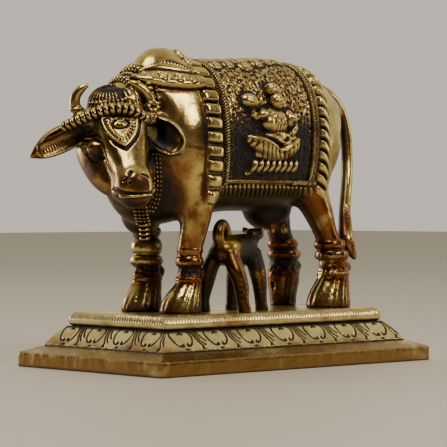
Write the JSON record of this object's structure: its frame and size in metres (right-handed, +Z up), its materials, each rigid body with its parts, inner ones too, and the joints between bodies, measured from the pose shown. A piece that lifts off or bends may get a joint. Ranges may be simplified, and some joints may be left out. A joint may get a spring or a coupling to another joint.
{
  "type": "cow and calf figure on plinth",
  "caption": "Small cast brass statue of a standing cow in a saddle cloth, head turned to one side, with a calf at her udder, on a moulded rectangular plinth.",
  "frame": {"origin": "middle of the plinth's underside", "axes": "+X along the plinth's long side, from the cow's head to her tail; +Y to the cow's right; +Z up"},
  "size_m": [0.1276, 0.0674, 0.0985],
  "materials": {
    "plinth_brass": "aged cast brass, dark in the engraving",
    "cow_brass": "polished cast brass with black and brown in the recesses",
    "calf_brass": "darkened cast brass, rubbed bright on the ridges"
  },
  "bodies": {
    "root": {"plinth": "plinth_brass", "cow": "cow_brass", "calf": "calf_brass"}
  },
  "joints": []
}
